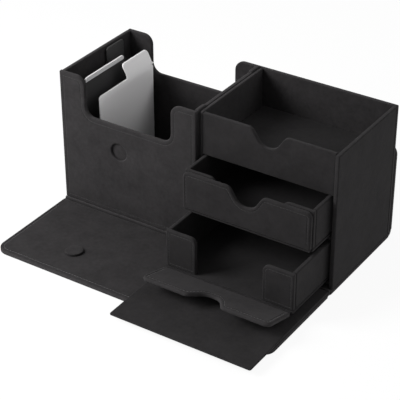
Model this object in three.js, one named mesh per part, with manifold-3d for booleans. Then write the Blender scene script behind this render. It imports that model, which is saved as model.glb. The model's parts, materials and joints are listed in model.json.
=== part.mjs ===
// Playing card box with a deck well, an open tray and two drawers, shown open.
// Millimetres, +Z up, +X to the right of someone facing the front, +Y to the back.
// The origin is on the table under the middle of the box body.
import * as THREE from 'three';
import { mergeVertices } from 'three/addons/utils/BufferGeometryUtils.js';
import Module from 'manifold-3d';

const wasm = await Module();
wasm.setup();

// Box body
const BOX_W = 236;            // outside width
const BOX_D = 90.4;           // outside depth, without the back flap
const BOX_H = 113;            // top of the walls above the table
const BOARD = 3.2;            // covered board of the walls
const THIN_BOARD = 2.8;       // wall between the deck well and the drawers
const FLOOR_T = 3;            // floors and the shelf
const SLIT = 0.3;             // gap between boards that touch
const BOARD_EDGE = 0.5;       // softened edge of a covered board
const EDGE_SHARE = 0.25;      // most of a thin board that one soft edge may take
const CORNER_STEPS = 6;       // flats per rounded corner
const PLAIN_RINGS = 1;        // flats across a soft edge: plain, shaped, rounded
const SHAPED_RINGS = 2;
const ROUNDED_RINGS = 3;
const WELD = 0.0001;          // corner points nearer than this are joined

// Wrap-round cover
const BASE_T = 4;             // base panel under the body
const FLAP_T = 3.8;           // covered boards of the flaps
const BACK_FLAP_GAP = 0.5;    // between the back wall and the closed back flap
const FLAP_EDGE = 1.3;        // their rounded edge
const FRONT_FLAP_END = 85.8;  // front edge of the flap, ahead of the body
const BACK_FLAP_TOP = 79;     // top edge of the closed back flap
const FLAP_CORNER_R = 9;
const CREASE_R = 1.3;         // rolled fold between base and flap
const CREASE_OUT = 1.6;       // fold's centre outside the body
const CREASE_Z = 3;           // fold's centre above the table
const CREASE_INSET = 1.5;     // fold stops short of the sides
const CREASE_FLATS = 12;
const SHEET_T = 1.6;          // thin inner cover that shuts over the drawers
const SHEET_LAP = 0.6;        // how far it reaches past the drawers on to the well
const SHEET_END = 108.5;
const SHEET_CORNER_R = 1.5;
const SHEET_EDGE = 0.4;

// Magnet in the flap and its seat in the deck well's front
const MAGNET_R = 6.9;
const MAGNET_X = 52.7;
const MAGNET_Y = -58.4;
const MAGNET_BASE = 1.9;      // underside of the disc above the table
const MAGNET_RISE = 1;        // how far it stands out of the flap
const MAGNET_EDGE = 0.5;
const MAGNET_TURN = 0.15;     // mid point of its rounded edge, in from the corner
const MAGNET_FLATS = 32;
const SEAT_DEPTH = 1.8;
const SEAT_SLACK = 0.5;

// Deck well
const WELL_W = 121.8;         // outside width of the well
const WELL_PROUD = 0.8;       // its front stands a little above the other walls
const CUT_LEFT = 23;          // post left of the wide cut-out, front and back
const CUT_POST_R = 22;        // post right of it
const CUT_DEPTH = 31.1;       // below the top of the back wall
const CUT_CORNER_R = 8;
const EAR_L = 10;             // raised ends of the well's right wall
const EAR_RISE = 1.2;

// Cabinet with the tray on top and two bays below
const RIGHT_WALL_FRONT = 1.8;
const CABINET_FRONT = 5;
const TRAY_FRONT = 4;
const CABINET_FLOOR_T = 3.8;
const LOWER_HEADROOM = 1.6;   // free height above each drawer
const UPPER_HEADROOM = 0.8;

// Thumb notch in the tray and in both drawer flaps
const NOTCH_HALF = 16.9;
const NOTCH_DEPTH = 12.6;
const NOTCH_SHOULDER = 9.5;
const NOTCH_BELLY = 10.8;
const NOTCH_STEPS = 9;

// Drawers
const DRAWER_GAP_L = 0.5;     // running gap to the bay's sides
const DRAWER_GAP_R = 2.5;
const DRAWER_GAP_BACK = 0.9;
const DRAWER_H = 32.6;
const DRAWER_FLOOR_T = 2.4;
const DRAWER_SHUT_Y = 8.4;    // front of the posts when pushed home
const LOWER_PULL = 52.7;      // how far each stands out in the photograph
const UPPER_PULL = 28;
const POST_W = 25;
const POST_CORNER_R = 5;
const FRONT_FLAP_T = 3.4;     // hinged covered front of a drawer
const FRONT_FLAP_GAP = 0.4;   // between that front and the posts
const FRONT_FLAP_SIDE = 0.3;  // it is this much narrower on each side
const FRONT_FLAP_R = 4.5;
const FRONT_FLAP_EDGE = 1.1;
const FOLD_R = 1.1;           // rolled fold that carries it
const FOLD_Y = -1.7;
const FOLD_Z = 1.5;
const LOWER_FRONT_OPEN = 74;  // degrees the lower front hangs open

// Loose dividers in the deck well
const DIVIDER_T = 1;
const DIVIDER_GAP_FRONT = 6.5;      // free depth of the well ahead of and behind them
const DIVIDER_GAP_BACK = 6.9;
const DIVIDER_SHOULDER_DROP = 19.4; // from the walls' tops down to their shoulders
const DIVIDER_CORNER_R = 3;
const DIVIDER_LIFT = 0.3;     // above the well's floor
const WHITE_DIVIDER_X = 26.9;
const WHITE_DIVIDER_BACK = 2;  // it stands this much farther back than the others
const WHITE_TAB_H = 11.7;
const WHITE_TAB_SHARES = [0.53, 1];   // each tab's near and far end along the divider
const GREY_DIVIDER_X = 15.5;
const GREY_TAB_H = 13.2;
const GREY_TAB_SHARES = [0, 0.71];
const DARK_DIVIDER_X = 4;
const DARK_TAB_H = 18;
const DARK_TAB_SHARES = [0.61, 0.93];

const fabric = new THREE.MeshStandardMaterial({ color: 0x454243, roughness: 0.95, metalness: 0 });
const lining = new THREE.MeshStandardMaterial({ color: 0x353334, roughness: 0.97, metalness: 0 });
const darkPlastic = new THREE.MeshStandardMaterial({ color: 0x2f2e30, roughness: 0.6, metalness: 0 });
const greyPlastic = new THREE.MeshStandardMaterial({ color: 0x6f6e70, roughness: 0.55, metalness: 0 });
const whitePlastic = new THREE.MeshStandardMaterial({ color: 0xf2f2f0, roughness: 0.5, metalness: 0 });

const box = new THREE.Group();
box.position.set(-BOX_W / 2, -BOX_D / 2, 0);

// How a flat board stands: its outline's two directions, then its thickness.
const LYING = new THREE.Matrix4().identity();
const FACING_FRONT = new THREE.Matrix4().makeBasis(
  new THREE.Vector3(1, 0, 0), new THREE.Vector3(0, 0, 1), new THREE.Vector3(0, -1, 0));
const FACING_SIDE = new THREE.Matrix4().makeBasis(
  new THREE.Vector3(0, 1, 0), new THREE.Vector3(0, 0, 1), new THREE.Vector3(1, 0, 0));

// An outline with its own radius on each corner, counted from the origin corner.
function roundedOutline(width, height, radii) {
  const [a, b, c, d] = radii;
  const s = new THREE.Shape();
  s.moveTo(a, 0);
  s.lineTo(width - b, 0);
  if (b > 0) s.absarc(width - b, b, b, -Math.PI / 2, 0, false);
  s.lineTo(width, height - c);
  if (c > 0) s.absarc(width - c, height - c, c, 0, Math.PI / 2, false);
  s.lineTo(d, height);
  if (d > 0) s.absarc(d, height - d, d, Math.PI / 2, Math.PI, false);
  s.lineTo(0, a);
  if (a > 0) s.absarc(a, a, a, Math.PI, 1.5 * Math.PI, false);
  return s;
}

// A board cut from an outline, with softened edges all round.
function cutBoard(outline, thickness, edge, rings) {
  const g = new THREE.ExtrudeGeometry(outline, {
    depth: thickness - 2 * edge,
    bevelEnabled: edge > 0,
    bevelThickness: edge,
    bevelSize: edge,
    bevelOffset: -edge,
    bevelSegments: rings,
    curveSegments: CORNER_STEPS,
  });
  g.translate(0, 0, edge);
  return g;
}

function place(name, geometry, material, stand, x, y, z, parent = box) {
  const m = new THREE.Mesh(geometry, material);
  m.name = name;
  m.quaternion.setFromRotationMatrix(stand);
  m.position.set(x, y, z);
  parent.add(m);
  return m;
}

// A plain rectangular board lying between two corners.
function slab(name, material, low, high, parent = box) {
  const [w, d, h] = high.map((v, i) => v - low[i]);
  const thin = Math.min(w, d, h);
  const edge = Math.min(BOARD_EDGE, thin * EDGE_SHARE);
  const square = [0, 0, 0, 0];
  if (thin === h) return place(name, cutBoard(roundedOutline(w, d, square), h, edge, PLAIN_RINGS), material, LYING, ...low, parent);
  if (thin === d) return place(name, cutBoard(roundedOutline(w, h, square), d, edge, PLAIN_RINGS), material, FACING_FRONT, low[0], high[1], low[2], parent);
  return place(name, cutBoard(roundedOutline(d, h, square), w, edge, PLAIN_RINGS), material, FACING_SIDE, ...low, parent);
}

// Cuts go through a solid library that needs merged corner points.
function toSolid(geometry) {
  const g = geometry.clone();
  g.deleteAttribute('normal');
  g.deleteAttribute('uv');
  const m = mergeVertices(g, WELD);
  return new wasm.Manifold(new wasm.Mesh({
    numProp: 3,
    vertProperties: new Float32Array(m.attributes.position.array),
    triVerts: new Uint32Array(m.index.array),
  }));
}

function fromSolid(solid) {
  const m = solid.getMesh();
  const g = new THREE.BufferGeometry();
  g.setAttribute('position', new THREE.BufferAttribute(new Float32Array(m.vertProperties), 3));
  g.setIndex(new THREE.BufferAttribute(new Uint32Array(m.triVerts), 1));
  const flat = g.toNonIndexed();
  flat.computeVertexNormals();
  return flat;
}

// A rolled fold of covering that runs along X.
function fold(name, radius, length, x, y, z, parent = box) {
  const g = new THREE.CylinderGeometry(radius, radius, length, CREASE_FLATS);
  const m = new THREE.Mesh(g, fabric);
  m.name = name;
  m.rotation.z = Math.PI / 2;
  m.position.set(x + length / 2, y, z);
  parent.add(m);
  return m;
}

// The thumb notch, traced from right to left along a top edge.
function notchAlong(s, middle, top) {
  const low = top - NOTCH_DEPTH;
  s.lineTo(middle + NOTCH_HALF, top);
  s.bezierCurveTo(middle + NOTCH_SHOULDER, top, middle + NOTCH_BELLY, low, middle, low);
  s.bezierCurveTo(middle - NOTCH_BELLY, low, middle - NOTCH_SHOULDER, top, middle - NOTCH_HALF, top);
}

// Cover: base panel, folds, front flap with its magnet, thin sheet and back flap.
slab('base_panel', fabric, [0, 0, 0], [BOX_W, BOX_D, BASE_T]);
fold('front_crease', CREASE_R, BOX_W - 2 * CREASE_INSET, CREASE_INSET, -CREASE_OUT, CREASE_Z);
fold('back_crease', CREASE_R, BOX_W - 2 * CREASE_INSET, CREASE_INSET, BOX_D + CREASE_OUT, CREASE_Z);

const flapStart = CREASE_OUT + CREASE_R + SLIT;
const frontFlapLength = FRONT_FLAP_END - flapStart;
const frontFlap = cutBoard(
  roundedOutline(BOX_W, frontFlapLength, [FLAP_CORNER_R, FLAP_CORNER_R, 0, 0]), FLAP_T, FLAP_EDGE, ROUNDED_RINGS);
const pocket = new THREE.CylinderGeometry(
  MAGNET_R + SLIT, MAGNET_R + SLIT, FLAP_T, MAGNET_FLATS);
pocket.rotateX(Math.PI / 2);
pocket.translate(MAGNET_X, MAGNET_Y + FRONT_FLAP_END, MAGNET_BASE - SLIT + FLAP_T / 2);
place('front_flap', fromSolid(toSolid(frontFlap).subtract(toSolid(pocket))), fabric, LYING,
  0, -FRONT_FLAP_END, 0);

const discTop = FLAP_T + MAGNET_RISE;
const disc = new THREE.LatheGeometry([
  new THREE.Vector2(0, MAGNET_BASE),
  new THREE.Vector2(MAGNET_R, MAGNET_BASE),
  new THREE.Vector2(MAGNET_R, discTop - MAGNET_EDGE),
  new THREE.Vector2(MAGNET_R - MAGNET_TURN, discTop - MAGNET_TURN),
  new THREE.Vector2(MAGNET_R - MAGNET_EDGE, discTop),
  new THREE.Vector2(0, discTop),
], MAGNET_FLATS);
disc.rotateX(Math.PI / 2);
place('flap_magnet', disc, fabric, LYING, MAGNET_X, MAGNET_Y, 0);

const sheetLeft = WELL_W - SHEET_LAP;
place('inner_cover', cutBoard(
  roundedOutline(BOX_W - sheetLeft - SLIT, SHEET_END - flapStart,
    [SHEET_CORNER_R, SHEET_CORNER_R, 0, 0]), SHEET_T, SHEET_EDGE, PLAIN_RINGS),
  fabric, LYING, sheetLeft, -SHEET_END, FLAP_T + SLIT);

const backFlapLow = CREASE_Z + CREASE_R + SLIT;
place('back_flap', cutBoard(
  roundedOutline(BOX_W, BACK_FLAP_TOP - backFlapLow, [0, 0, FLAP_CORNER_R, FLAP_CORNER_R]),
  FLAP_T, FLAP_EDGE, ROUNDED_RINGS), fabric, FACING_FRONT,
  0, BOX_D + BACK_FLAP_GAP + FLAP_T, backFlapLow);

// Deck well: walls stand on the base panel, with one wide cut-out front and back.
const wallLow = BASE_T + SLIT;
const insideFront = BOARD + SLIT;
const insideBack = BOX_D - BOARD - SLIT;
const cutRight = WELL_W - CUT_POST_R;
const cutFloor = BOX_H - CUT_DEPTH;

function cutOutWall(width, top) {
  const r = CUT_CORNER_R;
  const h = top - wallLow;
  const low = cutFloor - wallLow;
  const s = new THREE.Shape();
  s.moveTo(0, 0);
  s.lineTo(width, 0);
  s.lineTo(width, h);
  s.lineTo(cutRight + r, h);
  s.absarc(cutRight + r, h - r, r, Math.PI / 2, Math.PI, false);
  s.lineTo(cutRight, low + r);
  s.absarc(cutRight - r, low + r, r, 0, -Math.PI / 2, true);
  s.lineTo(CUT_LEFT + r, low);
  s.absarc(CUT_LEFT + r, low + r, r, -Math.PI / 2, -Math.PI, true);
  s.lineTo(CUT_LEFT, h - r);
  s.absarc(CUT_LEFT - r, h - r, r, 0, Math.PI / 2, false);
  s.lineTo(0, h);
  return cutBoard(s, BOARD, BOARD_EDGE, SHAPED_RINGS);
}

const seat = new THREE.CylinderGeometry(
  MAGNET_R + SEAT_SLACK, MAGNET_R + SEAT_SLACK, 2 * SEAT_DEPTH, MAGNET_FLATS);
seat.rotateX(Math.PI / 2);
seat.translate(MAGNET_X, CREASE_Z - MAGNET_Y - CREASE_OUT - wallLow, BOARD);
place('well_front', fromSolid(toSolid(cutOutWall(WELL_W, BOX_H + WELL_PROUD)).subtract(toSolid(seat))),
  fabric, FACING_FRONT, 0, BOARD, wallLow);
place('back_wall', cutOutWall(BOX_W, BOX_H), fabric, FACING_FRONT, 0, BOX_D, wallLow);
slab('well_left', fabric, [0, insideFront, wallLow], [BOARD, insideBack, BOX_H]);

const wellRightDepth = insideBack - insideFront;
const wellRightTop = BOX_H - wallLow;
const ears = new THREE.Shape();
ears.moveTo(0, 0);
ears.lineTo(wellRightDepth, 0);
ears.lineTo(wellRightDepth, wellRightTop + EAR_RISE);
ears.lineTo(wellRightDepth - EAR_L, wellRightTop + EAR_RISE);
ears.lineTo(wellRightDepth - EAR_L - EAR_RISE, wellRightTop);
ears.lineTo(EAR_L + EAR_RISE, wellRightTop);
ears.lineTo(EAR_L, wellRightTop + EAR_RISE);
ears.lineTo(0, wellRightTop + EAR_RISE);
place('well_right', cutBoard(ears, BOARD, BOARD_EDGE, PLAIN_RINGS), fabric, FACING_SIDE,
  WELL_W - BOARD, insideFront, wallLow);
slab('well_floor', lining, [BOARD + SLIT, insideFront, wallLow],
  [WELL_W - BOARD - SLIT, insideBack, wallLow + FLOOR_T]);

// Cabinet: side walls, floor, shelf, tray floor and the tray's notched front.
const cabinetLeft = WELL_W + SLIT;
const bayLeft = cabinetLeft + THIN_BOARD;
const bayRight = BOX_W - BOARD;
const lowerDrawerZ = wallLow + CABINET_FLOOR_T + SLIT;
const shelfLow = lowerDrawerZ + DRAWER_H + LOWER_HEADROOM;
const upperDrawerZ = shelfLow + FLOOR_T + SLIT;
const trayLow = upperDrawerZ + DRAWER_H + UPPER_HEADROOM;
slab('cabinet_left', fabric, [cabinetLeft, CABINET_FRONT, wallLow], [bayLeft, insideBack, BOX_H]);
slab('cabinet_right', fabric, [bayRight, RIGHT_WALL_FRONT, wallLow], [BOX_W, insideBack, BOX_H]);
slab('cabinet_floor', lining, [bayLeft + SLIT, CABINET_FRONT, wallLow],
  [bayRight - SLIT, insideBack, wallLow + CABINET_FLOOR_T]);
slab('shelf', lining, [bayLeft + SLIT, CABINET_FRONT, shelfLow],
  [bayRight - SLIT, insideBack, shelfLow + FLOOR_T]);
slab('tray_floor', lining, [bayLeft + SLIT, TRAY_FRONT + BOARD + SLIT, trayLow],
  [bayRight - SLIT, insideBack, trayLow + FLOOR_T]);

const trayW = bayRight - bayLeft - 2 * SLIT;
const trayH = BOX_H - trayLow;
const trayFront = new THREE.Shape();
trayFront.moveTo(0, 0);
trayFront.lineTo(trayW, 0);
trayFront.lineTo(trayW, trayH);
notchAlong(trayFront, trayW / 2, trayH);
trayFront.lineTo(0, trayH);
place('tray_front', cutBoard(trayFront, BOARD, BOARD_EDGE, SHAPED_RINGS), fabric, FACING_FRONT,
  bayLeft + SLIT, TRAY_FRONT + BOARD, trayLow);

// A drawer: floor, sides, back, two front posts and a covered front on a fold.
const drawerW = bayRight - bayLeft - DRAWER_GAP_L - DRAWER_GAP_R;
const drawerD = insideBack - DRAWER_SHUT_Y - DRAWER_GAP_BACK;
function drawer(prefix, z, pull, openDegrees) {
  const g = new THREE.Group();
  g.position.set(bayLeft + DRAWER_GAP_L, DRAWER_SHUT_Y - pull, z);
  box.add(g);
  const wallFoot = DRAWER_FLOOR_T + SLIT;
  const sideFront = BOARD + SLIT;
  slab(`${prefix}_floor`, lining, [0, 0, 0], [drawerW, drawerD, DRAWER_FLOOR_T], g);
  slab(`${prefix}_left`, fabric, [0, sideFront, wallFoot],
    [BOARD, drawerD - BOARD - SLIT, DRAWER_H], g);
  slab(`${prefix}_right`, fabric, [drawerW - BOARD, sideFront, wallFoot],
    [drawerW, drawerD - BOARD - SLIT, DRAWER_H], g);
  slab(`${prefix}_back`, fabric, [0, drawerD - BOARD, wallFoot], [drawerW, drawerD, DRAWER_H], g);

  const postH = DRAWER_H - wallFoot;
  place(`${prefix}_left_post`, cutBoard(
    roundedOutline(POST_W, postH, [0, 0, POST_CORNER_R, 0]), BOARD, BOARD_EDGE, SHAPED_RINGS),
    fabric, FACING_FRONT, 0, BOARD, wallFoot, g);
  place(`${prefix}_right_post`, cutBoard(
    roundedOutline(POST_W, postH, [0, 0, 0, POST_CORNER_R]), BOARD, BOARD_EDGE, SHAPED_RINGS),
    fabric, FACING_FRONT, drawerW - POST_W, BOARD, wallFoot, g);
  fold(`${prefix}_fold`, FOLD_R, drawerW - 2 * CREASE_INSET, CREASE_INSET, FOLD_Y, FOLD_Z, g);

  // The front is drawn shut, then swung down about the fold.
  const swing = new THREE.Group();
  swing.position.set(0, FOLD_Y, FOLD_Z);
  swing.rotation.x = THREE.MathUtils.degToRad(openDegrees);
  g.add(swing);
  const frontW = drawerW - 2 * FRONT_FLAP_SIDE;
  const frontFoot = FOLD_R + SLIT;
  const frontH = DRAWER_H - FOLD_Z - frontFoot;
  const r = FRONT_FLAP_R;
  const s = new THREE.Shape();
  s.moveTo(0, 0);
  s.lineTo(frontW, 0);
  s.lineTo(frontW, frontH - r);
  s.absarc(frontW - r, frontH - r, r, 0, Math.PI / 2, false);
  notchAlong(s, frontW / 2, frontH);
  s.lineTo(r, frontH);
  s.absarc(r, frontH - r, r, Math.PI / 2, Math.PI, false);
  s.lineTo(0, 0);
  place(`${prefix}_front`, cutBoard(s, FRONT_FLAP_T, FRONT_FLAP_EDGE, ROUNDED_RINGS), fabric, FACING_FRONT,
    FRONT_FLAP_SIDE, -FOLD_Y - FRONT_FLAP_GAP, frontFoot, swing);
}
drawer('lower_drawer', lowerDrawerZ, LOWER_PULL, LOWER_FRONT_OPEN);
drawer('upper_drawer', upperDrawerZ, UPPER_PULL, 0);

// A divider: a card-sized sheet with a raised tab over part of its top.
const dividerW = wellRightDepth - DIVIDER_GAP_FRONT - DIVIDER_GAP_BACK;
const dividerLow = wallLow + FLOOR_T + DIVIDER_LIFT;
function divider(name, material, x, back, tabH, tabShares) {
  const r = DIVIDER_CORNER_R;
  const h = BOX_H - DIVIDER_SHOULDER_DROP - dividerLow;
  const top = h + tabH;
  const [tabFrom, tabTo] = tabShares.map((share) => share * dividerW);
  const s = new THREE.Shape();
  s.moveTo(0, 0);
  s.lineTo(dividerW, 0);
  if (tabTo < dividerW) {
    s.lineTo(dividerW, h - r);
    s.absarc(dividerW - r, h - r, r, 0, Math.PI / 2, false);
    s.lineTo(tabTo, h);
  }
  s.lineTo(tabTo, top - r);
  s.absarc(tabTo - r, top - r, r, 0, Math.PI / 2, false);
  s.lineTo(tabFrom + r, top);
  s.absarc(tabFrom + r, top - r, r, Math.PI / 2, Math.PI, false);
  if (tabFrom > 0) {
    s.lineTo(tabFrom, h);
    s.lineTo(r, h);
    s.absarc(r, h - r, r, Math.PI / 2, Math.PI, false);
  }
  s.lineTo(0, 0);
  place(name, cutBoard(s, DIVIDER_T, 0, PLAIN_RINGS), material, FACING_SIDE,
    x, insideFront + DIVIDER_GAP_FRONT + back, dividerLow);
}
divider('divider_white', whitePlastic, WHITE_DIVIDER_X, WHITE_DIVIDER_BACK, WHITE_TAB_H, WHITE_TAB_SHARES);
divider('divider_grey', greyPlastic, GREY_DIVIDER_X, 0, GREY_TAB_H, GREY_TAB_SHARES);
divider('divider_dark', darkPlastic, DARK_DIVIDER_X, 0, DARK_TAB_H, DARK_TAB_SHARES);

export default box;
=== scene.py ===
import json
import math
import bpy
import numpy as np
from mathutils import Matrix, Vector
from mathutils.geometry import delaunay_2d_cdt, tessellate_polygon


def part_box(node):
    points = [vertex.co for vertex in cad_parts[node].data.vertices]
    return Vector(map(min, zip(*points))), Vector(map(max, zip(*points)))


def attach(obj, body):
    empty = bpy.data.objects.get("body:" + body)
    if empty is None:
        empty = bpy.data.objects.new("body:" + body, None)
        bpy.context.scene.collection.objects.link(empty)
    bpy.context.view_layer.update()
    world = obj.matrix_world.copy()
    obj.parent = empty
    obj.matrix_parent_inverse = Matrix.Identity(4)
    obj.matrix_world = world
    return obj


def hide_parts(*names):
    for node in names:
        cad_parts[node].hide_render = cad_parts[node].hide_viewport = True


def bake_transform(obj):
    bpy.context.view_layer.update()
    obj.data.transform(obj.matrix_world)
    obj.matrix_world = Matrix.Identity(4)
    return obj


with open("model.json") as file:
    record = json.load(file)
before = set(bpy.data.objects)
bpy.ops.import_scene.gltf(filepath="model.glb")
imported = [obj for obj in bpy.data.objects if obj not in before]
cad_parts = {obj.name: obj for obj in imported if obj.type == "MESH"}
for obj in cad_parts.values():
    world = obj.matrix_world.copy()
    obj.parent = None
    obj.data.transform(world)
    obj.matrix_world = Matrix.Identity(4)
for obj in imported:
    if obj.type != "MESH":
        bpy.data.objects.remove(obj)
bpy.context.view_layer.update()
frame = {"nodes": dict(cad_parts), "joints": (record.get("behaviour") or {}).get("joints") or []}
mm = 0.001
nodes = frame["nodes"]
jointPlace = {j["name"]: np.array(j.get("pos_m", (0, 0, 0))) / mm for j in frame["joints"]}
print("frame loaded:", len(nodes), "nodes")


# surfaces

surface = {
    "arcSteps": 6, "edgeSteps": 5, "foldSteps": 4, "leastRadius": 0.03,
    "capHold": 0.5, "capClear": 0.3, "weld": 1e-5,
    # the pressed line across: shares of its half width, its painted shading and its depth: painted
    # highlights on its shoulders, painted shade at its bottom
    "pressed": [(-1, 0.1, 0), (-0.45, 0.3, 0.4), (0, -1, 1), (0.45, 0.1, 0.4), (1, 0, 0)],
}


def putMesh(name, verts, faces, **marks):
    # verts in millimetres; a mark is one value per vertex: rim is 1 for the painted highlight where the
    # covering folds over an edge and below 0 for painted shade, as in a pressed line; hole is 1 at a needle
    # hole, which is painted dark as shade
    mesh = bpy.data.meshes.new(name)
    mesh.from_pydata((np.asarray(verts, float) * mm).tolist(), [], faces)
    mesh.polygons.foreach_set("use_smooth", np.ones(len(mesh.polygons), bool))
    for mark, values in marks.items():
        layer = mesh.attributes.new(mark, "FLOAT", "POINT")
        layer.data.foreach_set("value", np.asarray(values, np.float32))
    mesh.validate()
    mesh.update()
    obj = bpy.data.objects.new(name, mesh)
    bpy.context.scene.collection.objects.link(obj)
    return obj


def roundedRing(corners, radii, inset, arcSteps, edgeSteps):
    # an outline walked anticlockwise: each edge moves inwards by inset, and each corner is an arc
    # whose radius loses the inset on an outer corner and gains it on an inner one
    c, r = np.asarray(corners, float), np.asarray(radii, float)
    leave = np.roll(c, -1, 0) - c
    leave /= np.linalg.norm(leave, axis=1)[:, None]
    leaveIn = np.stack([-leave[:, 1], leave[:, 0]], 1)
    arrive, arriveIn = np.roll(leave, 1, 0), np.roll(leaveIn, 1, 0)
    turn = np.arctan2(arrive[:, 0] * leave[:, 1] - arrive[:, 1] * leave[:, 0], (arrive * leave).sum(1))
    moved = c + inset * (arriveIn + leaveIn) / (1 + (arriveIn * leaveIn).sum(1))[:, None]
    bend = np.where(turn > 0, np.maximum(r - inset, surface["leastRadius"]), r + inset)
    start = moved - arrive * (bend * np.tan(np.abs(turn) / 2))[:, None]
    centre = start + arriveIn * (bend * np.sign(turn))[:, None]
    a = turn[:, None] * np.linspace(0, 1, arcSteps + 1)[None]
    d = (start - centre)[:, None]
    arc = centre[:, None] + np.stack([np.cos(a) * d[..., 0] - np.sin(a) * d[..., 1],
                                      np.sin(a) * d[..., 0] + np.cos(a) * d[..., 1]], -1)
    f = np.linspace(0, 1, edgeSteps + 1)[1:-1]
    run = arc[:, -1:] + (np.roll(arc[:, 0], -1, 0)[:, None] - arc[:, -1:]) * f[None, :, None]
    return np.concatenate([arc, run], 1).reshape(-1, 2)


def quadBands(rings, around):
    # quads between each ring and the next, closed round each ring
    i, j = np.meshgrid(np.arange(rings - 1), np.arange(around), indexing="ij")
    k = (j + 1) % around
    corners = [i * around + j, i * around + k, (i + 1) * around + k, (i + 1) * around + j]
    return np.stack(corners, -1).reshape(-1, 4)


def cappedBands(rings, around):
    # the same, with the first ring and the last one closed
    ends = [list(range(around))[::-1], list(range((rings - 1) * around, rings * around))]
    return quadBands(rings, around).tolist() + ends


def edgeSection(thickness, edge, groove=None):
    # the board's edge in section, from its back face round to its front face: rows of inset, height, rim
    # value (a painted highlight over the folded edge, painted highlights and painted shade in the pressed
    # line) and how far the row sinks where the groove is on
    turn = np.linspace(0, math.pi / 2, surface["foldSteps"] + 1)
    pressed, last = [], edge
    if groove:
        inset, width = groove["inset"], groove["width"]
        pressed = [(inset + across * width, shade * groove["paintedShading"], sink * groove["depth"])
                   for across, shade, sink in surface["pressed"]]
        last = inset + width
    rows = [(last + surface["capHold"], 0, 0, 0)]
    if groove and groove["bothFaces"]:
        rows += [(inset, 0, value, -sink) for inset, value, sink in pressed[::-1]]
    rows += [(edge - edge * math.sin(t), edge - edge * math.cos(t), math.sin(t) ** 2, 0) for t in turn]
    rows += [(edge - edge * math.cos(t), thickness - edge + edge * math.sin(t), math.cos(t) ** 2, 0)
             for t in turn]
    rows += [(inset, thickness, value, sink) for inset, value, sink in pressed]
    rows += [(last + surface["capHold"], thickness, 0, 0)]
    return np.array(rows, float)


def gridCap(ring, pitch):
    # triangles that fill an outline from its own points and a raster of points inside it
    low, high = ring.min(0), ring.max(0)
    lines = [np.arange(low[k] + pitch / 2, high[k], pitch) for k in range(2)]
    raster = np.stack(np.meshgrid(*lines), -1).reshape(-1, 2)
    a, b = ring, np.roll(ring, -1, 0)
    x, y = raster[:, :1], raster[:, 1:]
    with np.errstate(divide="ignore", invalid="ignore"):
        crossAt = a[:, 0] + (y - a[:, 1]) * (b[:, 0] - a[:, 0]) / (b[:, 1] - a[:, 1])
    inside = (((a[:, 1] > y) != (b[:, 1] > y)) & (x < crossAt)).sum(1) % 2 == 1
    clear = np.linalg.norm(raster[:, None] - ring[None], axis=2).min(1) > pitch * surface["capClear"]
    points = np.concatenate([ring, raster[inside & clear]])
    outline = [list(range(len(ring)))]
    _, _, tris, source, _, _ = delaunay_2d_cdt([Vector(p) for p in points], [], outline, 1, surface["weld"])
    return points[len(ring):], [[source[k][0] for k in tri] for tri in tris]


def boardSurface(corners, radii, section, look, mask=None, pit=None, pitch=None):
    # the section carried round the outline, closed by a cap on each face; pit is a round dished seat in
    # the front face, pitch the step of the points inside the caps of a board that is bent afterwards
    arcSteps, edgeSteps = (look.get(key, surface[key]) for key in ("arcSteps", "edgeSteps"))
    rings = np.stack([roundedRing(corners, radii, row[0], arcSteps, edgeSteps) for row in section])
    count, around = rings.shape[:2]
    on = np.ones((count, around)) if mask is None else mask(rings[..., 0], rings[..., 1])
    # the rim column: painted highlight over folded edges, painted shade and highlights in pressed lines
    level, paintedShading, sink = section[:, 1:].T[:, :, None]
    verts = np.concatenate([rings, (level - sink * on)[..., None]], -1).reshape(-1, 3)
    rim = (np.where(sink != 0, paintedShading * on, paintedShading) * np.ones((count, around))).reshape(-1)
    faces = quadBands(count, around).tolist()
    top = list(range((count - 1) * around, count * around))
    if pitch:
        for row, start, flip in ((0, 0, -1), (-1, top[0], 1)):
            inner, tris = gridCap(rings[row], pitch)
            base = len(verts) - around
            verts = np.concatenate([verts, np.column_stack([inner, np.full(len(inner), section[row, 1])])])
            rim = np.concatenate([rim, np.zeros(len(inner))])
            faces += [[k + (start if k < around else base) for k in tri[::flip]] for tri in tris]
        return verts, faces, rim
    faces.append(list(range(around))[::-1])
    if pit is None:
        faces.append(top)
        return verts, faces, rim
    steps, base = pit["steps"], len(verts)
    turn = np.linspace(0, 2 * math.pi, steps, endpoint=False)
    circle = np.stack([np.cos(turn), np.sin(turn)], 1)
    for out, down, value in pit["wall"]:
        ring = circle * (pit["radius"] + out) + pit["centre"]
        height = np.full(steps, section[-1, 1] - down * pit["depth"])
        verts = np.concatenate([verts, np.column_stack([ring, height])])
        rim = np.concatenate([rim, np.full(steps, value)])
    faces += (quadBands(len(pit["wall"]), steps) + base).tolist()
    faces.append(list(range(len(verts) - steps, len(verts))))
    order = top + list(range(base, base + steps))
    flat = [Vector((*verts[k, :2], 0)) for k in order]
    for tri in tessellate_polygon([flat[:around], flat[around:]]):
        a, b, c = (order[k] for k in tri)
        ab, ac = verts[b] - verts[a], verts[c] - verts[a]
        faces.append([a, b, c] if ab[0] * ac[1] - ab[1] * ac[0] > 0 else [a, c, b])
    return verts, faces, rim


# how a board stands: outline across, outline up, thickness, each as a row-frame axis
stands = {
    "lying": ((1, 0, 0), (0, 1, 0), (0, 0, 1)),
    "front": ((1, 0, 0), (0, 0, 1), (0, -1, 0)),
    "back": ((-1, 0, 0), (0, 0, 1), (0, 1, 0)),
    "right": ((0, 1, 0), (0, 0, 1), (1, 0, 0)),
    "left": ((0, -1, 0), (0, 0, 1), (-1, 0, 0)),
}


def nodeStand(node, stand):
    # the node's box as a corner, three axes and its width, height and thickness
    low, high = (np.array(v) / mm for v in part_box(node))
    axes = np.array(stands[stand], float)
    origin = np.where(axes.sum(0) > 0, low, high)
    return origin, axes, np.abs(axes @ (high - low))


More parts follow.
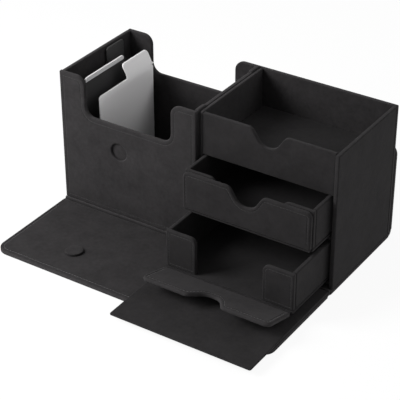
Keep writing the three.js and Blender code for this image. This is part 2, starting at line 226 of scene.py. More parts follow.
stitch = {
    "pitch": 2.6, "length": 1.85, "width": 0.55, "height": 0.22, "sewnAt": 0.5,
    "holeLength": 0.75, "holeWidth": 0.6, "holeHeight": 0.1, "holeAt": 0.0,
    "sides": 6, "reach": 0.2, "arcSteps": 8, "edgeSteps": 40,
    # a spindle from tip to tip: share of its length, share of its girth
    "spindle": [(-0.5, 0.25), (-0.34, 0.85), (0, 1.0), (0.34, 0.85), (0.5, 0.25)],
}


def seamPaths(origin, axes, corners, radii, groove, height, mask, facing):
    # where the stitches lie: the outline moved in to the groove, in the runs where the mask is on
    ring = roundedRing(corners, radii, groove["inset"], stitch["arcSteps"], stitch["edgeSteps"])
    keep = np.ones(len(ring), bool) if mask is None else mask(ring[:, 0], ring[:, 1]) > 0.5
    points = origin + np.column_stack([ring, np.full(len(ring), height)]) @ axes
    if keep.all():
        return [(np.concatenate([points, points[:1]]), facing * axes[2])]
    order = (np.arange(len(ring)) + np.argmin(keep)) % len(ring)
    ends = np.flatnonzero(np.diff(np.r_[False, keep[order], False].astype(int))).reshape(-1, 2)
    return [(points[order[a:b]], facing * axes[2]) for a, b in ends]


def finishPiece(obj, body, material, slotName, *replaced):
    obj.data.materials.append(material)
    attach(obj, body)
    if replaced:
        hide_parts(*replaced)
    return obj


def board(name, body, node, stand, look, material, slotName="covering", outline=None, mask=None, pit=None,
          bend=None):
    origin, axes, (w, h, t) = nodeStand(node, stand)
    corners, radii = outline(w, h) if outline else ([(0, 0), (w, 0), (w, h), (0, h)], look["corners"])
    groove = look.get("groove")
    section = edgeSection(t, look["edge"], groove)
    pitch = look["pitch"] if bend else None
    verts, faces, rim = boardSurface(corners, radii, section, look, mask, pit, pitch)
    if bend:
        verts = bend(verts, w, h)
    obj = putMesh(name, origin + verts @ axes, faces, rim=rim)
    if groove:
        paths = seamPaths(origin, axes, corners, radii, groove, t - groove["depth"], mask, 1)
        if groove["bothFaces"]:
            paths += seamPaths(origin, axes, corners, radii, groove, groove["depth"], mask, -1)
        stitchRow(name + "Stitches", body, paths, groove.get("thread", "plain"))
    return finishPiece(obj, body, material, slotName, node)


def lengthwise(section, run):
    # a closed section in Y and Z carried along X, with a slight sway in height: two sines of x added
    section = np.asarray(section, float)
    steps = run["steps"]
    x = np.linspace(-run["halfLength"], run["halfLength"], steps)
    swing = run["sway"] * sum(share * np.sin(x * rate + phase) for share, rate, phase in run["sines"])
    verts = np.stack([np.repeat(x, len(section)), np.tile(section[:, 0], steps),
                      np.tile(section[:, 1], steps) + np.repeat(swing, len(section))], 1)
    return verts, cappedBands(steps, len(section))


def smoothLoop(points, count):
    # a closed curve through the points (periodic cubic through each run of four)
    p = np.asarray(points, float)
    f = np.linspace(0, 1, count, endpoint=False)[:, None]
    a, b, c, d = np.roll(p, 1, 0), p, np.roll(p, -1, 0), np.roll(p, -2, 0)
    curve = 0.5 * (2 * b[:, None] + (c - a)[:, None] * f + (2 * a - 5 * b + 4 * c - d)[:, None] * f ** 2
                   + (3 * b - a - 3 * c + d)[:, None] * f ** 3)
    return curve.reshape(-1, p.shape[1])


def spindles(paths, pitch, offset, length, width, height):
    # spindles set at even steps along each path, which is points and a normal
    sides, reach = stitch["sides"], stitch["reach"]
    ring = np.linspace(0, 2 * math.pi, sides, endpoint=False)
    along, girth = np.array(stitch["spindle"]).T
    shape = np.stack([np.repeat(along * length, sides),
                      np.outer(girth, np.cos(ring)).reshape(-1) * width / 2,
                      np.outer(girth, np.sin(ring)).reshape(-1) * height], 1)
    verts = []
    for points, normal in paths:
        p = np.asarray(points, float)
        run = np.r_[0, np.cumsum(np.linalg.norm(np.diff(p, axis=0), axis=1))]
        count = max(int(run[-1] / pitch), 1)
        s = (np.arange(count) + offset) * run[-1] / count
        place = np.stack([np.interp(s, run, p[:, k]) for k in range(3)], 1)
        ahead = np.stack([np.interp(np.minimum(s + reach, run[-1]), run, p[:, k])
                          - np.interp(np.maximum(s - reach, 0), run, p[:, k]) for k in range(3)], 1)
        ahead /= np.linalg.norm(ahead, axis=1)[:, None]
        across = np.cross(normal, ahead)
        turned = shape[None, :, :1] * ahead[:, None] + shape[None, :, 1:2] * across[:, None]
        verts.append(place[:, None] + turned + shape[None, :, 2:] * normal)
    verts = np.concatenate(verts)
    first = (np.arange(len(verts)) * len(shape))[:, None, None]
    bands = quadBands(len(along), sides)[None] + first
    caps = np.stack([np.arange(sides)[::-1], np.arange(sides) + len(shape) - sides])[None] + first
    return verts.reshape(-1, 3), bands.reshape(-1, 4).tolist() + caps.reshape(-1, sides).tolist()


def stitchRow(name, body, paths, thread):
    # a thread stitch and then a needle hole, over and over; each hole is a low bead painted dark as shade
    sewn, sewnFaces = spindles(paths, stitch["pitch"], stitch["sewnAt"], stitch["length"], stitch["width"],
                               stitch["height"])
    hole, holeFaces = spindles(paths, stitch["pitch"], stitch["holeAt"], stitch["holeLength"],
                               stitch["holeWidth"], stitch["holeHeight"])
    faces = sewnFaces + [[k + len(sewn) for k in face] for face in holeFaces]
    obj = putMesh(name, np.concatenate([sewn, hole]), faces, hole=np.repeat([0, 1], [len(sewn), len(hole)]))
    return finishPiece(obj, body, sewing[thread], "covering")


# materials

def newMaterial(name):
    mat = bpy.data.materials.new(name)
    mat.use_nodes = True
    tree = mat.node_tree
    return mat, tree, tree.nodes["Principled BSDF"]


def addNode(tree, kind, **values):
    node = tree.nodes.new(kind)
    for key, value in values.items():
        if key in node.inputs:
            node.inputs[key].default_value = value
        else:
            setattr(node, key, value)
    return node


def noiseNode(tree, place, scale, detail, rough=0.5):
    n = addNode(tree, "ShaderNodeTexNoise", Scale=scale, Detail=detail, Roughness=rough)
    tree.links.new(place.outputs["Object"], n.inputs["Vector"])
    return n.outputs["Fac"]


def mathNode(tree, operation, a, b):
    n = addNode(tree, "ShaderNodeMath", operation=operation)
    for socket, value in zip(n.inputs, (a, b)):
        if isinstance(value, (int, float)):
            socket.default_value = value
        else:
            tree.links.new(value, socket)
    return n.outputs[0]


def mixColour(tree, fac, a, b):
    n = addNode(tree, "ShaderNodeMix", data_type="RGBA")
    for socket, value in ((n.inputs[0], fac), (n.inputs[6], a), (n.inputs[7], b)):
        if isinstance(value, (int, float, tuple)):
            socket.default_value = value
        else:
            tree.links.new(value, socket)
    return n.outputs[2]


def opaque(look, *keys):
    return [(*look[key], 1) for key in keys]


def rangeNode(tree, value, source=(0, 1), target=(0, 1)):
    # a value carried from one range to another
    n = addNode(tree, "ShaderNodeMapRange", clamp=True)
    tree.links.new(value, n.inputs[0])
    for socket, limit in zip(n.inputs[1:5], (*source, *target)):
        socket.default_value = limit
    return n.outputs[0]


def bumpNode(tree, height, strength, distance, under=None):
    n = addNode(tree, "ShaderNodeBump", Strength=strength, Distance=distance)
    tree.links.new(height, n.inputs["Height"])
    if under:
        tree.links.new(under, n.inputs["Normal"])
    return n.outputs[0]


def weighed(tree, *parts):
    # the sum of each value times its share
    total = None
    for value, share in parts:
        part = mathNode(tree, "MULTIPLY", value, share)
        total = part if total is None else mathNode(tree, "ADD", total, part)
    return total


cloth = {
    "cloud": {"detail": 4, "rough": 0.6}, "nap": {"detail": 3, "rough": 0.6},
    "fibre": {"detail": 2, "rough": 0.5},
    "rampFrom": 0.34, "rampTo": 0.66, "highlightNap": 0.8, "paintedShadeTone": 0.35,
    "grainNap": 0.6, "grainFibre": 0.4, "grainStrength": 0.5, "waveStrength": 0.6,
    "roughness": 0.92, "specular": 0.13, "sheenRoughness": 0.55, "sheenTint": (0.92, 0.9, 0.92, 1),
}


def microfibre(name, look):
    # brushed nap: broad cloudy patches, a short directionless grain and fine fibres, with a painted
    # highlight where it folds over an edge and painted shade in a pressed line
    mat, tree, shader = newMaterial(name)
    place = addNode(tree, "ShaderNodeTexCoord")
    cloud, nap, fibre = (noiseNode(tree, place, look[layer + "Scale"], **cloth[layer])
                         for layer in ("cloud", "nap", "fibre"))
    fibreShare = 1 - look["cloudShare"] - look["napShare"]
    tone = weighed(tree, (cloud, look["cloudShare"]), (nap, look["napShare"]), (fibre, fibreShare))
    ramp = addNode(tree, "ShaderNodeValToRGB")
    tree.links.new(tone, ramp.inputs[0])
    low, high = ramp.color_ramp.elements
    low.position, high.position = cloth["rampFrom"], cloth["rampTo"]
    low.color, high.color = opaque(look, "dark", "light")
    rim = addNode(tree, "ShaderNodeAttribute", attribute_name="rim").outputs["Fac"]
    # a painted highlight where the covering folds over an edge, broken up by the nap
    mottledHighlight = mathNode(tree, "MULTIPLY", nap, cloth["highlightNap"])
    mottledHighlight = mathNode(tree, "ADD", mottledHighlight, look["rimShare"] - cloth["highlightNap"] / 2)
    paintedHighlight = rangeNode(tree, mathNode(tree, "MULTIPLY", rim, mottledHighlight))
    # painted shade where rim is below 0: a darker tone of the cloth
    paintedShade = rangeNode(tree, rim, source=(0, -1))
    colour = mixColour(tree, paintedHighlight, ramp.outputs[0], (*look["rim"], 1))
    colour = mixColour(tree, paintedShade, colour, (*[v * cloth["paintedShadeTone"] for v in look["dark"]], 1))
    tree.links.new(colour, shader.inputs["Base Color"])
    shader.inputs["Roughness"].default_value = cloth["roughness"]
    shader.inputs["Specular IOR Level"].default_value = cloth["specular"]
    shader.inputs["Sheen Weight"].default_value = look["sheen"]
    shader.inputs["Sheen Roughness"].default_value = cloth["sheenRoughness"]
    shader.inputs["Sheen Tint"].default_value = cloth["sheenTint"]
    grain = weighed(tree, (nap, cloth["grainNap"]), (fibre, cloth["grainFibre"]))
    grain = bumpNode(tree, grain, cloth["grainStrength"], look["grainDepth"])
    wave = bumpNode(tree, cloud, cloth["waveStrength"], look["waveDepth"], grain)
    tree.links.new(wave, shader.inputs["Normal"])
    return mat


frosted = {
    "frostScale": 1900, "frostDetail": 2, "frostShare": 0.6,
    "cloudScale": 60, "cloudDetail": 3, "cloudShare": 0.4,
    "roughSpread": 0.08, "bumpStrength": 0.25, "bumpDepth": 0.00004,
}


def cardPlastic(name, look):
    # a thin polypropylene sheet: even colour with a fine frosted grain
    mat, tree, shader = newMaterial(name)
    place = addNode(tree, "ShaderNodeTexCoord")
    frost = noiseNode(tree, place, frosted["frostScale"], frosted["frostDetail"])
    cloud = noiseNode(tree, place, frosted["cloudScale"], frosted["cloudDetail"])
    grain = weighed(tree, (frost, frosted["frostShare"]), (cloud, frosted["cloudShare"]))
    tree.links.new(mixColour(tree, grain, *opaque(look, "dark", "light")), shader.inputs["Base Color"])
    least, most = (look["roughness"] + side * frosted["roughSpread"] for side in (-1, 1))
    tree.links.new(rangeNode(tree, frost, target=(least, most)), shader.inputs["Roughness"])
    bump = bumpNode(tree, frost, frosted["bumpStrength"], frosted["bumpDepth"])
    tree.links.new(bump, shader.inputs["Normal"])
    return mat


twisted = {"scale": 1500, "distortion": 1.5, "roughness": 0.6, "bumpStrength": 0.4, "bumpDepth": 0.00006}


def sewingThread(name, look):
    # twisted thread: fine slanting bands along each stitch
    mat, tree, shader = newMaterial(name)
    place = addNode(tree, "ShaderNodeTexCoord")
    twist = addNode(tree, "ShaderNodeTexWave", Scale=twisted["scale"], Distortion=twisted["distortion"],
                    bands_direction="DIAGONAL")
    tree.links.new(place.outputs["Object"], twist.inputs["Vector"])
    hole = addNode(tree, "ShaderNodeAttribute", attribute_name="hole")
    colour = mixColour(tree, twist.outputs["Fac"], *opaque(look, "dark", "light"))
    colour = mixColour(tree, hole.outputs["Fac"], colour, (*look["hole"], 1))
    tree.links.new(colour, shader.inputs["Base Color"])
    shader.inputs["Roughness"].default_value = twisted["roughness"]
    shader.inputs["Sheen Weight"].default_value = look["sheen"]
    bump = bumpNode(tree, twist.outputs["Fac"], twisted["bumpStrength"], twisted["bumpDepth"])
    tree.links.new(bump, shader.inputs["Normal"])
    return mat


# rim is the colour of the painted highlight over folded edges, rimShare its strength
coverLook = {
    "dark": (0.0141, 0.0131, 0.0136), "light": (0.0268, 0.025, 0.026), "rim": (0.036, 0.034, 0.0351),
    "cloudScale": 70, "napScale": 330, "fibreScale": 2600, "cloudShare": 0.5, "napShare": 0.36,
    "rimShare": 0.55, "sheen": 0.038, "grainDepth": 0.00012, "waveDepth": 0.0006,
}
liningLook = {
    **coverLook, "dark": (0.0118, 0.0111, 0.0115), "light": (0.0186, 0.0176, 0.0182),
    "rim": (0.0274, 0.026, 0.0268), "sheen": 0.03,
}
covering = microfibre("darkMicrofibre", coverLook)
# a copy of the covering a little darker, for the cabinet's right wall, the tray's front, the inner cover
# and the drawers, apart from the open front of the lower one
darkerShare = 0.68
darkerLook = {tone: tuple(darkerShare * v for v in coverLook[tone]) for tone in ("dark", "light", "rim")}
darkerCloth = microfibre("darkerMicrofibre", {**coverLook, **darkerLook})
lining = microfibre("innerMicrofibre", liningLook)
# one dark thread in two copies: plain is painted lit, paler than the cloth, dim is painted shaded, darker
# than the cloth; hole is the colour of a needle hole, painted dark as shade
threadLooks = {
    "plain": {"dark": (0.032, 0.0303, 0.0314), "light": (0.05, 0.0474, 0.0491),
              "hole": (0.009, 0.0086, 0.0089), "sheen": 0.2},
    "dim": {"dark": (0.0091, 0.0086, 0.0089), "light": (0.0167, 0.0158, 0.0164),
            "hole": (0.003, 0.003, 0.003), "sheen": 0.0},
}
sheetLooks = {
    "white": {"dark": (0.9, 0.89, 0.9), "light": (0.95, 0.94, 0.945), "roughness": 0.5},
    "grey": {"dark": (0.0182, 0.0175, 0.0182), "light": (0.0258, 0.025, 0.0258), "roughness": 0.55},
    "dark": {"dark": (0.0115, 0.0112, 0.0115), "light": (0.0166, 0.016, 0.0166), "roughness": 0.5},
    "strip": {"dark": (0.66, 0.65, 0.66), "light": (0.74, 0.73, 0.74), "roughness": 0.5},
}
sewing = {
    "plain": sewingThread("darkThreadPaintedLit", threadLooks["plain"]),
    "dim": sewingThread("darkThreadPaintedShaded", threadLooks["dim"]),
}
whiteSheet = cardPlastic("whiteCardPlastic", sheetLooks["white"])
greySheet = cardPlastic("greyCardPlastic", sheetLooks["grey"])
darkSheet = cardPlastic("darkCardPlastic", sheetLooks["dark"])
paleStrip = cardPlastic("paleCardStrip", sheetLooks["strip"])
linedNodes = (
    "well_floor", "cabinet_floor", "shelf", "tray_floor", "lower_drawer_floor", "upper_drawer_floor",
)
for nodeName in linedNodes:
    nodes[nodeName].data.materials.clear()
    nodes[nodeName].data.materials.append(lining)
print("materials made")


# cover

# a groove's shading value sets the painted shade at the bottom of its pressed line and the painted
# highlights beside it
coverSeam = {"inset": 2.9, "width": 0.75, "depth": 0.35, "paintedShading": 0.5, "bothFaces": False}
coverBoard = {
    "base": {"edge": 1.2, "corners": [1.5] * 4},
    "flap": {"edge": 1.0, "corners": [9, 9, 1.6, 1.6], "arcSteps": 10, "groove": coverSeam},
    "sheet": {"edge": 0.6, "corners": [1.5, 1.5, 1.0, 1.0]},
    "back": {"edge": 1.0, "corners": [1.6, 1.6, 9, 9], "arcSteps": 10, "groove": coverSeam},
}
# the pressed line of a flap fades out before the fold
grooveFade = {"clear": 2, "run": 8}
board("basePanel", "box", "base_panel", "lying", coverBoard["base"], covering)
flapDepth = nodeStand("front_flap", "lying")[2][1]


def flapGroove(x, y):
    return np.clip((flapDepth - grooveFade["clear"] - y) / grooveFade["run"], 0, 1)


def backFlapGroove(x, y):
    return np.clip((y - grooveFade["clear"]) / grooveFade["run"], 0, 1)


board("frontFlap", "cover_flap", "front_flap", "lying", coverBoard["flap"], covering, mask=flapGroove)
board("innerCover", "cover_sheet", "inner_cover", "lying", coverBoard["sheet"], darkerCloth)
board("backFlap", "cover_back", "back_flap", "back", coverBoard["back"], covering, mask=backFlapGroove)

magnet = {
    "skirt": 2.6, "lip": 0.25, "edge": 0.5, "tilt": 1.2, "steepSide": -33.0, "steps": 72, "profile": 6,
    "steepPower": 0.7, "tiltAt": 0.35, "footShare": 0.45, "footSunk": 0.05,
    "hidden": 1.2, "hiddenRadius": 0.4, "crownRadius": 0.55, "middleRadius": 0.08,
    "crownLean": 0.28, "crownRise": 0.15, "middleRise": 0.03,
    # the next row sets the painted shadow on the steep side and the painted highlight on the edge
    "dark": 1.1, "footShadow": 0.4, "footTurn": 0.6, "crestShadow": 0.8, "crestHighlight": 0.4,
}
low, high = (np.array(v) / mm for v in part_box("flap_magnet"))
magnetCentre, magnetRadius, magnetTop = (low + high) / 2, (high[0] - low[0]) / 2, high[2]
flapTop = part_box("front_flap")[1][2] / mm


def magnetBump():
    # a disc under the covering: radius and height over the turn and the profile; on the steep side the edge
    # stands free, on the other side the covering runs down to the flap in a long skirt, and the top tilts
    # with it; the steep side is painted dark as the disc's shadow, and its edge carries a painted highlight
    m = magnet
    turn = np.linspace(0, 2 * math.pi, m["steps"], endpoint=False)
    away = np.stack([np.cos(turn), np.sin(turn)], 1)
    lean = np.cos(turn - math.radians(m["steepSide"]))
    steep = np.clip(0.5 + 0.5 * lean, 0, 1) ** m["steepPower"]
    t = np.linspace(0, math.pi / 2, m["profile"])[:, None]
    flat = np.ones((1, m["steps"]))
    skirt = m["lip"] + m["skirt"] * (1 - steep[None])
    top = magnetTop - flapTop + m["tilt"] * (steep[None] - m["tiltAt"])
    crown = magnetTop - flapTop + m["tilt"] * (m["crownLean"] * lean + m["crownRise"])
    # painted shadow, strongest on the steep side
    dark = -m["dark"] * steep[None] ** 2
    foot = top * m["footShare"]
    # each entry: radius, height over the flap, rim value (painted shadow below 0, painted highlight above)
    profile = [
        (flat * magnetRadius * m["hiddenRadius"], flat * -m["hidden"], 0 * flat),
        (magnetRadius + skirt, flat * -m["hidden"], m["footShadow"] * dark),
        (magnetRadius + skirt * (1 - np.sin(t)), foot * (1 - np.cos(t)) - m["footSunk"],
         dark * np.cos(t * m["footTurn"])),
        (magnetRadius - m["edge"] + m["edge"] * np.cos(t) + 0 * top, foot + (top - foot) * np.sin(t),
         m["crestShadow"] * dark * np.cos(t) + m["crestHighlight"] * np.sin(2 * t)),
        (flat * magnetRadius * m["crownRadius"], crown[None], 0 * flat),
        (flat * magnetRadius * m["middleRadius"], flat * (crown.mean() + m["middleRise"]), 0 * flat),
    ]
    radius, height, discShading = (np.concatenate(column) for column in zip(*profile))
    verts = np.stack([radius * away[:, 0], radius * away[:, 1], height + flapTop], -1).reshape(-1, 3)
    return verts, cappedBands(*radius.shape), discShading.reshape(-1)


verts, faces, discShading = magnetBump()
disc = putMesh("flapMagnet", verts + [magnetCentre[0], magnetCentre[1], 0], faces, rim=discShading)
finishPiece(disc, "cover_flap", covering, "covering", "flap_magnet")

# fabric folds: each runs the box's width
creases = {
    "front": [(-44.2, 4.06), (-44.9, 4.5), (-45.45, 4.65), (-45.8, 5.25), (-46.3, 5.4), (-46.8, 4.9),
              (-47.2, 3.8), (-48.0, 3.64), (-49.8, 3.88), (-49.8, 0.3), (-48.4, 0.35), (-46.8, 0.8),
              (-45.2, 0.35), (-44.2, 0.3)],
    "back": [(44.6, 0.2), (46.0, 0.3), (47.6, 0.8), (48.9, 2.1), (49.5, 3.7), (49.45, 6.0), (46.1, 6.0),
             (46.0, 4.7), (45.7, 3.9), (44.6, 3.7)],
    "halfLength": 117.2, "steps": 60, "curve": 4,
    # the sway is two sines of x: share, rate and phase
    "sway": 0.05, "sines": [(1, 0.11, 0.7), (0.5, 0.29, 0.0)],
    # where the ridge's painted highlight and the fold line's painted shade lie, their spread and strengths,
    # and the height above which they are painted
    "ridge": -46.2, "line": -47.5, "spread": 0.5, "ridgeHighlight": 2.2, "dark": 0.8, "above": 2,
}
verts, faces = lengthwise(smoothLoop(creases["front"][::-1], creases["curve"]), creases)
# a painted highlight on the fold's ridge and painted shade in its fold line
ridge, line = (np.exp(-((verts[:, 1] - creases[at]) / creases["spread"]) ** 2) for at in ("ridge", "line"))
shade = np.where(verts[:, 2] > creases["above"], creases["ridgeHighlight"] * ridge - creases["dark"] * line, 0)
foldFront = putMesh("frontFold", verts, faces, rim=shade)
foldFront.data.materials.append(covering)
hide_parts("front_crease")
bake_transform(foldFront)
verts, faces = lengthwise(smoothLoop(creases["back"], creases["curve"]), creases)
foldBack = putMesh("backFold", verts, faces, rim=np.zeros(len(verts)))
foldBack.data.materials.append(covering)
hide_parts("back_crease")
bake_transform(foldBack)
print("cover made")


# deck well and cabinet

# a groove's shading value sets the painted shade at the bottom of its pressed line and the painted
# highlights beside it
wall = {
    "plain": {"edge": 0.8, "corners": [0.6] * 4},
    "thin": {"edge": 0.9, "corners": [1.0] * 4},
    "shaped": {"edge": 1.1, "edgeSteps": 9, "arcSteps": 8,
               "groove": {"inset": 3.5, "width": 0.7, "depth": 0.26, "paintedShading": 0.15, "bothFaces": False,
                          "thread": "dim"}},
    "backShaped": {"edge": 0.95, "edgeSteps": 7, "arcSteps": 8},
}
cut = {"left": 23.0, "right": 99.8, "floor": 81.9, "radius": 8.0, "foot": 0.8, "top": 1.0}
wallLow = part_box("well_front")[0][2] / mm


def cutOutOutline(w, h):
    # a wall with one wide cut-out between two posts, all its corners rounded
    l, r, low = cut["left"], cut["right"], cut["floor"] - wallLow
    corners = [(0, 0), (w, 0), (w, h), (r, h), (r, low), (l, low), (l, h), (0, h)]
    return corners, [cut["foot"]] * 2 + [cut["top"]] + [cut["radius"]] * 4 + [cut["top"]]


seat = {
    "radius": 7.1, "depth": 1.9, "steps": 48,
    # rings from the face to the seat's bottom: out past the radius, share of the depth, rim value (a
    # painted highlight on the lip, painted shade low in the seat)
    "wall": [(0.9, 0.0, 0.0), (0.55, 0.04, 0.5), (0.2, 0.2, 0.9), (0.0, 0.5, 0.2), (-0.1, 0.9, -0.4),
             (-0.6, 1.0, -0.3), (-1.6, 1.0, 0)],
}
# where the magnet meets the wall once the flap is folded up
flapHinge = jointPlace["front_flap_hinge"]
seat["centre"] = np.array([magnetCentre[0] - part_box("well_front")[0][0] / mm,
                           flapHinge[2] + flapHinge[1] - magnetCentre[1] - wallLow])
board("wellFront", "box", "well_front", "front", wall["shaped"], covering, outline=cutOutOutline, pit=seat)
board("backWall", "box", "back_wall", "front", wall["backShaped"], covering, outline=cutOutOutline)
board("wellLeft", "box", "well_left", "left", wall["plain"], covering)
board("cabinetLeft", "box", "cabinet_left", "left", wall["thin"], covering)
board("cabinetRight", "box", "cabinet_right", "right", wall["plain"], darkerCloth)
ears = {"length": 10.0, "rise": 1.2, "slope": 1.2, "corner": 0.8, "stepCorner": 0.7}


def earOutline(w, h):
    # a wall whose two ends stand a little higher than its middle
    a, b, mid = ears["length"], ears["slope"], h - ears["rise"]
    corners = [(0, 0), (w, 0), (w, h), (w - a, h), (w - a - b, mid), (a + b, mid), (a, h), (0, h)]
    return corners, [ears["corner"]] * 3 + [ears["stepCorner"]] * 4 + [ears["corner"]]


board("wellRight", "box", "well_right", "right", wall["plain"], covering, outline=earOutline)
notch = {
    "shoulder": 13.79, "bottom": 5.6, "depth": 12.6, "shoulderRadius": 5.9, "bottomRadius": 9.8,
    "foot": 0.8, "trayCorner": 0.9,
}


def notchedOutline(cornerRadius):
    # a board with the thumb notch in the middle of its top edge
    def outline(w, h):
        m, low = w / 2, h - notch["depth"]
        corners = [(0, 0), (w, 0), (w, h), (m + notch["shoulder"], h), (m + notch["bottom"], low),
                   (m - notch["bottom"], low), (m - notch["shoulder"], h), (0, h)]
        half = [cornerRadius, notch["shoulderRadius"], notch["bottomRadius"]]
        return corners, [notch["foot"]] * 2 + half + half[::-1]
    return outline


board("trayFront", "box", "tray_front", "front", wall["backShaped"], darkerCloth,
      outline=notchedOutline(notch["trayCorner"]))
print("well and cabinet made")


# drawers

# a groove's shading value sets the painted shade at the bottom of its pressed line and the painted
# highlights beside it
drawerLook = {
    "side": {"edge": 0.9, "corners": [0.8] * 4},
    "leftPost": {"corners": [0.8, 0.8, 5.0, 0.8]},
    "rightPost": {"corners": [0.8, 0.8, 0.8, 5.0]},
    "post": {"edge": 1.0, "groove": {"inset": 2.3, "width": 0.7, "depth": 0.2, "paintedShading": 0.45,
                                     "bothFaces": False, "thread": "dim"}},
    "front": {"edge": 1.3, "edgeSteps": 7, "arcSteps": 8,
              "groove": {"inset": 2.6, "width": 0.75, "depth": 0.4, "paintedShading": 0.5, "bothFaces": True}},
    "frontRadius": 4.5, "grooveClear": 2.5, "grooveRun": 3, "openDegrees": 74.0,
}


def frontGroove(x, y):
    # the pressed line runs round the three free sides and stops short of the fold
    return np.clip((y - drawerLook["grooveClear"]) / drawerLook["grooveRun"], 0, 1)


def drawerBoards(prefix, body):
    for side, stand in (("Left", "left"), ("Right", "right"), ("Back", "back")):
        board(prefix + side, body, f"{body}_{stand}", stand, drawerLook["side"], darkerCloth)
    for side in ("left", "right"):
        look = {**drawerLook["post"], **drawerLook[side + "Post"]}
        board(f"{prefix}{side.capitalize()}Post", body, f"{body}_{side}_post", "front", look, darkerCloth)
    fold = nodes[body + "_fold"]
    fold.data.materials.clear()
    fold.data.materials.append(darkerCloth)


drawerBoards("lowerDrawer", "lower_drawer")
drawerBoards("upperDrawer", "upper_drawer")
shutFront = {**drawerLook["front"], "groove": {**drawerLook["front"]["groove"], "thread": "dim"}}
board("upperDrawerFront", "upper_drawer_flap", "upper_drawer_front", "front", shutFront, darkerCloth,
      outline=notchedOutline(drawerLook["frontRadius"]), mask=frontGroove)

# the lower front is the same board, moved to its own hinge and swung open about it
origin, axes, (w, h, t) = nodeStand("upper_drawer_front", "front")
upperHinge, lowerHinge = jointPlace["upper_drawer_front_hinge"], jointPlace["lower_drawer_front_hinge"]
a = math.radians(drawerLook["openDegrees"])
swing = np.array([(1, 0, 0), (0, math.cos(a), -math.sin(a)), (0, math.sin(a), math.cos(a))])
origin, axes = (origin - upperHinge) @ swing.T + lowerHinge, axes @ swing.T
corners, radii = notchedOutline(drawerLook["frontRadius"])(w, h)
look = drawerLook["front"]
groove = look["groove"]
section = edgeSection(t, look["edge"], groove)
verts, faces, rim = boardSurface(corners, radii, section, look, frontGroove)
front = putMesh("lowerDrawerFront", origin + verts @ axes, faces, rim=rim)
finishPiece(front, "lower_drawer_flap", covering, "covering", "lower_drawer_front")
paths = []
for level, facing in ((t - groove["depth"], 1), (groove["depth"], -1)):
    paths += seamPaths(origin, axes, corners, radii, groove, level, frontGroove, facing)
stitchRow("lowerDrawerFrontStitches", "lower_drawer_flap", paths, "plain")
print("drawers made")


# dividers

divider = {
    "edge": 0.3, "radius": 3.0, "foot": 0.4, "shoulder": 1.5, "pitch": 2.5,
    "lean": 6.0, "leanFrom": 3.0, "leanPower": 1.3, "leanDrop": 0.22,
}
sheets = {
    "white": {"node": "divider_white", "body": "white_divider", "tab": (37.1, 70.0, 11.7),
              "material": whiteSheet, "slot": "white_plastic"},
    "grey": {"node": "divider_grey", "body": "grey_divider", "tab": (0.0, 49.7, 13.2),
             "material": greySheet, "slot": "grey_plastic"},
    "dark": {"node": "divider_dark", "body": "dark_divider", "tab": (42.7, 65.1, 18.0),
             "material": darkSheet, "slot": "dark_plastic"},
}


def tabOutline(tabFrom, tabTo, rise):
    # a card-sized sheet whose tab stands over part of its top
    def outline(w, h):
        low, r, shoulder = h - rise, divider["radius"], divider["shoulder"]
        corners, radii = [(0, 0), (w, 0)], [divider["foot"]] * 2
        if tabTo < w:
            corners += [(w, low), (tabTo, low)]
            radii += [r, shoulder]
        corners += [(tabTo, h), (tabFrom, h)]
        radii += [r, r]
        if tabFrom > 0:
            corners += [(tabFrom, low), (0, low)]
            radii += [shoulder, r]
        return corners, radii
    return outline


def leanTab(verts, w, h):
    # the white sheet's tab leans to the left, more and more with its height, and comes a little lower
    run = sheets["white"]["tab"][2] + divider["leanFrom"]
    rise = np.clip((verts[:, 1] - (h - run)) / run, 0, 1)
    shift = divider["lean"] * rise ** divider["leanPower"]
    return verts - np.column_stack([0 * rise, divider["leanDrop"] * shift, shift])


for name, sheet in sheets.items():
    board(name + "Divider", sheet["body"], sheet["node"], "right", divider, sheet["material"],
          sheet["slot"], outline=tabOutline(*sheet["tab"]), bend=leanTab if name == "white" else None)

strip = {"height": 3.4, "out": 0.18, "clear": 0.6, "edge": 0.25, "corners": [0.5, 0.5, 2.2, 2.2]}
origin, axes, (w, h, t) = nodeStand("divider_grey", "right")
left, right = sheets["grey"]["tab"][0] + strip["clear"], sheets["grey"]["tab"][1] - strip["clear"]
low, high = h - strip["height"], h + strip["out"]
corners = [(left, low), (right, low), (right, high), (left, high)]
section = edgeSection(t + 2 * strip["out"], strip["edge"])
verts, faces, rim = boardSurface(corners, strip["corners"], section, strip)
band = putMesh("greyDividerStrip", origin + (verts - [0, 0, strip["out"]]) @ axes, faces, rim=rim)
finishPiece(band, "grey_divider", paleStrip, "white_plastic")
print("dividers made")


# floor, light and camera

studio = {
    "floorSize": 20.0, "floorDrop": 0.3, "floorColour": (0.92, 0.92, 0.92, 1), "floorRoughness": 0.9,
    "floorSpecular": 0.1, "whiteShare": 0.9, "whiteStrength": 1.02, "skyStrength": 0.33,
    "white": (1, 1, 1, 1), "aim": (0, 0, 0.04),
    "key": {"place": (-0.45, -0.45, 0.45), "size": 0.35, "power": 6.8},
    "right": {"place": (0.9, 0.5, 0.7), "size": 0.6, "power": 3.0},
}


def seenRays(tree):
    # 1 for what the camera sees straight or in a gloss, 0 for the light that reaches the box
    rays = addNode(tree, "ShaderNodeLightPath")
    return mathNode(tree, "MAXIMUM", rays.outputs["Is Camera Ray"], rays.outputs["Is Glossy Ray"])


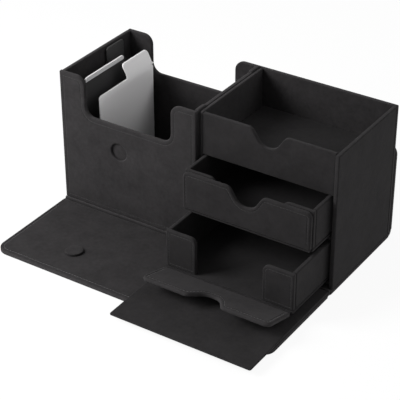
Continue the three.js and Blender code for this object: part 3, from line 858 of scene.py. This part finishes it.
half = studio["floorSize"] / 2 / mm
around = [(-half, -half), (half, -half), (half, half), (-half, half)]
floor = putMesh("studioFloor", [(x, y, -studio["floorDrop"]) for x, y in around], [[0, 1, 2, 3]])
floorMat, tree, shader = newMaterial("paleFloor")
shader.inputs["Base Color"].default_value = studio["floorColour"]
shader.inputs["Roughness"].default_value = studio["floorRoughness"]
shader.inputs["Specular IOR Level"].default_value = studio["floorSpecular"]
white = addNode(tree, "ShaderNodeEmission", Color=studio["white"], Strength=studio["whiteStrength"])
blendShader = addNode(tree, "ShaderNodeMixShader")
tree.links.new(mathNode(tree, "MULTIPLY", seenRays(tree), studio["whiteShare"]), blendShader.inputs[0])
tree.links.new(shader.outputs[0], blendShader.inputs[1])
tree.links.new(white.outputs[0], blendShader.inputs[2])
tree.links.new(blendShader.outputs[0], tree.nodes["Material Output"].inputs["Surface"])
floor.data.materials.append(floorMat)

world = bpy.data.worlds.new("studioWorld")
bpy.context.scene.world = world
world.use_nodes = True
tree = world.node_tree
sky = tree.nodes["Background"]
sky.inputs["Color"].default_value = studio["white"]
lift = mathNode(tree, "MULTIPLY", seenRays(tree), 1 - studio["skyStrength"])
lift = mathNode(tree, "ADD", lift, studio["skyStrength"])
tree.links.new(lift, sky.inputs["Strength"])

for lampName in ("key", "right"):
    lamp = studio[lampName]
    data = bpy.data.lights.new(lampName + "Lamp", "AREA")
    data.shape, data.size, data.energy = "SQUARE", lamp["size"], lamp["power"]
    obj = bpy.data.objects.new(lampName + "Lamp", data)
    obj.location = lamp["place"]
    obj.rotation_euler = (Vector(studio["aim"]) - Vector(lamp["place"])).to_track_quat("-Z", "Y").to_euler()
    bpy.context.scene.collection.objects.link(obj)

view = {
    "place": (0.50430, -0.80208, 0.60260), "azimuth": 33.29, "elevation": 31.73, "roll": -0.12,
    "lens": 131.41, "sensor": 36.0, "nearest": 0.05, "farthest": 50,
}
cameraData = bpy.data.cameras.new("photoCamera")
cameraData.lens, cameraData.sensor_width, cameraData.sensor_fit = view["lens"], view["sensor"], "HORIZONTAL"
cameraData.clip_start, cameraData.clip_end = view["nearest"], view["farthest"]
camera = bpy.data.objects.new("photoCamera", cameraData)
angles = (view["azimuth"], 90 - view["elevation"], view["roll"])
azimuth, tilt, roll = (math.radians(v) for v in angles)
turnUp = Matrix.Rotation(azimuth, 4, "Z") @ Matrix.Rotation(tilt, 4, "X")
camera.matrix_world = Matrix.Translation(view["place"]) @ turnUp @ Matrix.Rotation(roll, 4, "Z")
bpy.context.scene.collection.objects.link(camera)
bpy.context.scene.camera = camera
bpy.context.scene.view_settings.view_transform = "Standard"
print("studio made")

bpy.context.view_layer.update()
